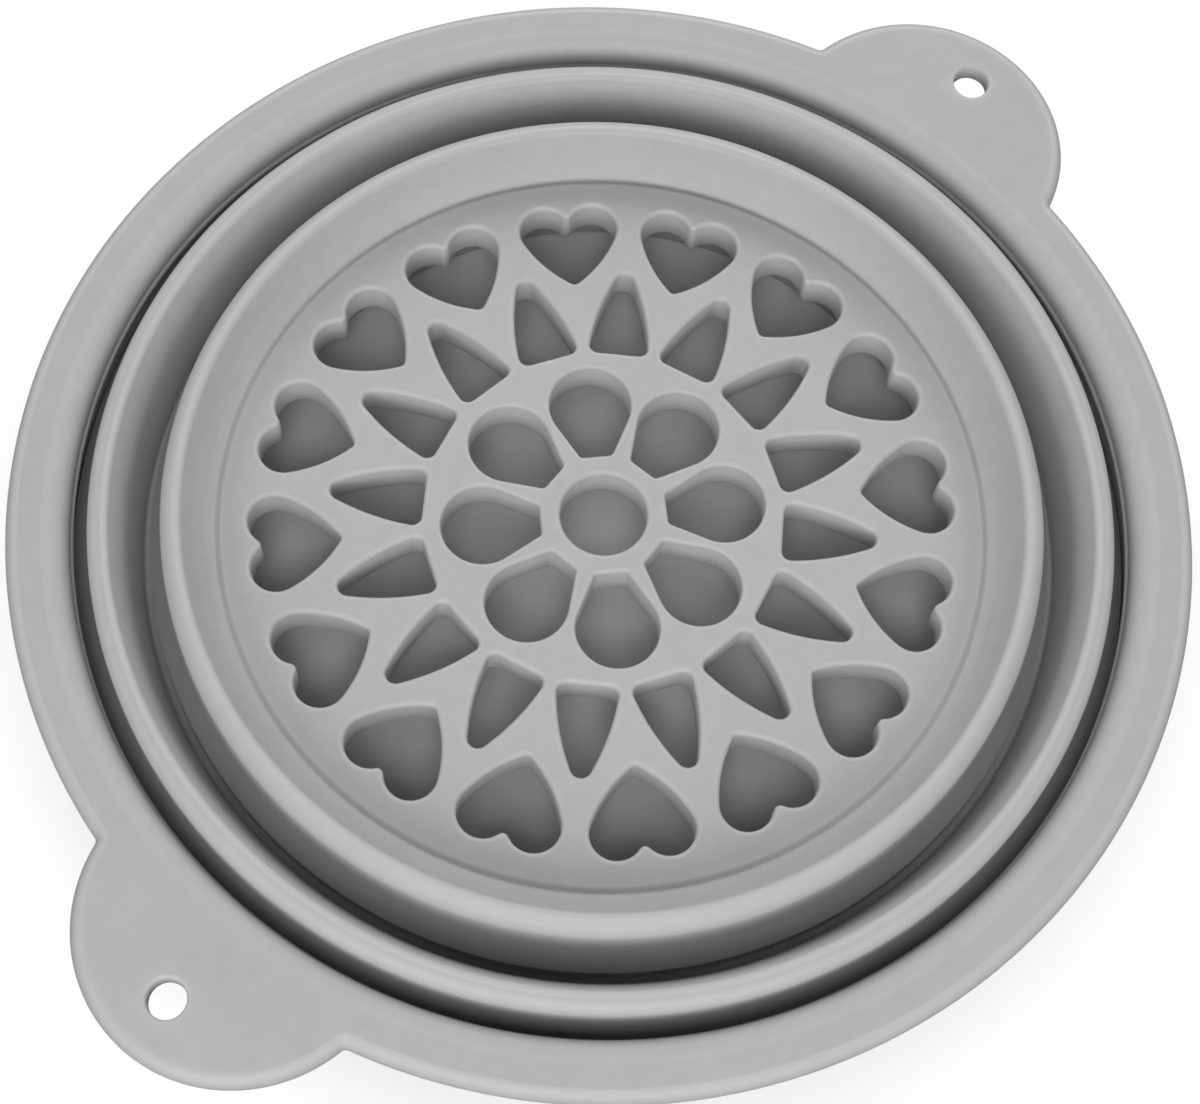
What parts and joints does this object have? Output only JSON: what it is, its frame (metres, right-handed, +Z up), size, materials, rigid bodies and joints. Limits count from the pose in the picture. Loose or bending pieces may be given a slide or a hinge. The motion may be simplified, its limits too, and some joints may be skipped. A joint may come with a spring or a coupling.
{
  "type": "collapsible drain basket",
  "caption": "Round collapsible drain basket of a portable mini washer, shown folded flat, with a flat eared rim, nested ring walls on folding webs and a pierced flower-pattern floor.",
  "frame": {"origin": "on the basket's axis, in the plane that the foot ring stands on", "axes": "+Z up out of the bowl, +X through the right ear, +Y to the left of +X seen from above"},
  "size_m": [0.2644, 0.224, 0.0257],
  "materials": {
    "shell": "moulded, fine matt texture",
    "fold_web": "soft moulded elastomer, matt",
    "hoop_wire": "drawn wire, moulded in"
  },
  "bodies": {
    "rim": {"rim_flange": "shell", "rim_hoop": "hoop_wire", "hanging_ear_left": "shell", "hanging_ear_right": "shell", "upper_wall": "shell", "upper_fold_bead": "shell"},
    "middle_tier": {"outer_fold_web": "fold_web", "middle_ridge_bead": "shell", "middle_wall": "shell", "middle_fold_bead": "shell"},
    "floor_tier": {"inner_fold_web": "fold_web", "lower_ridge_bead": "shell", "lower_wall": "shell", "floor_grille": "shell"}
  },
  "joints": [
    {"name": "middle_drop", "type": "slide", "parent": "rim", "child": "middle_tier", "axis": [0, 0, -1], "range_m": [0, 0.032], "deforming": ["outer_fold_web"]},
    {"name": "floor_drop", "type": "slide", "parent": "middle_tier", "child": "floor_tier", "axis": [0, 0, -1], "range_m": [0, 0.0338], "deforming": ["inner_fold_web"]}
  ]
}
